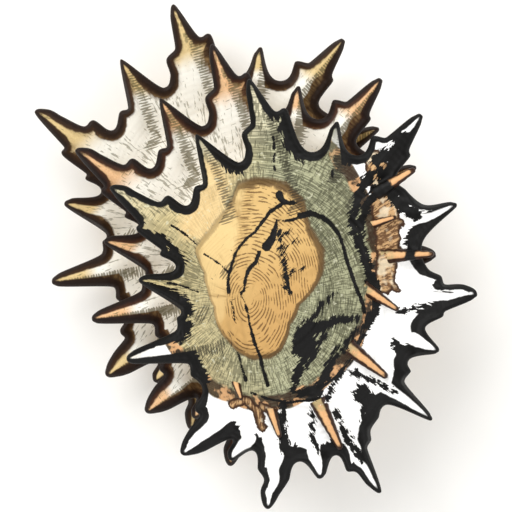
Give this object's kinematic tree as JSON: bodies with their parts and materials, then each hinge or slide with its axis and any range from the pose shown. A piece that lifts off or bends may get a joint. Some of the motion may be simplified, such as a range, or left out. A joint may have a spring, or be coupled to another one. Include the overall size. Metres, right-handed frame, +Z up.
{
  "type": "thorny oyster shell",
  "caption": "Closed thorny oyster shell: a cup-shaped lower valve with thorny frills and a domed upper valve with growth ledges and a thorny rim.",
  "frame": {"origin": "middle of the shell's box in plan, on the plane of the flat attachment scar", "axes": "+Z up from the scar to the dome of the upper valve, +Y towards the thorns at the hinge end"},
  "size_m": [0.131, 0.1496, 0.0583],
  "materials": {
    "lower_valve": "matt shell, cream to orange-tan thorns with dark brown rims",
    "upper_valve": "matt shell, tan disc, grey-green flanks, white thorns with black rims"
  },
  "bodies": {
    "root": {"lower_valve": "lower_valve", "upper_valve": "upper_valve"}
  },
  "joints": []
}
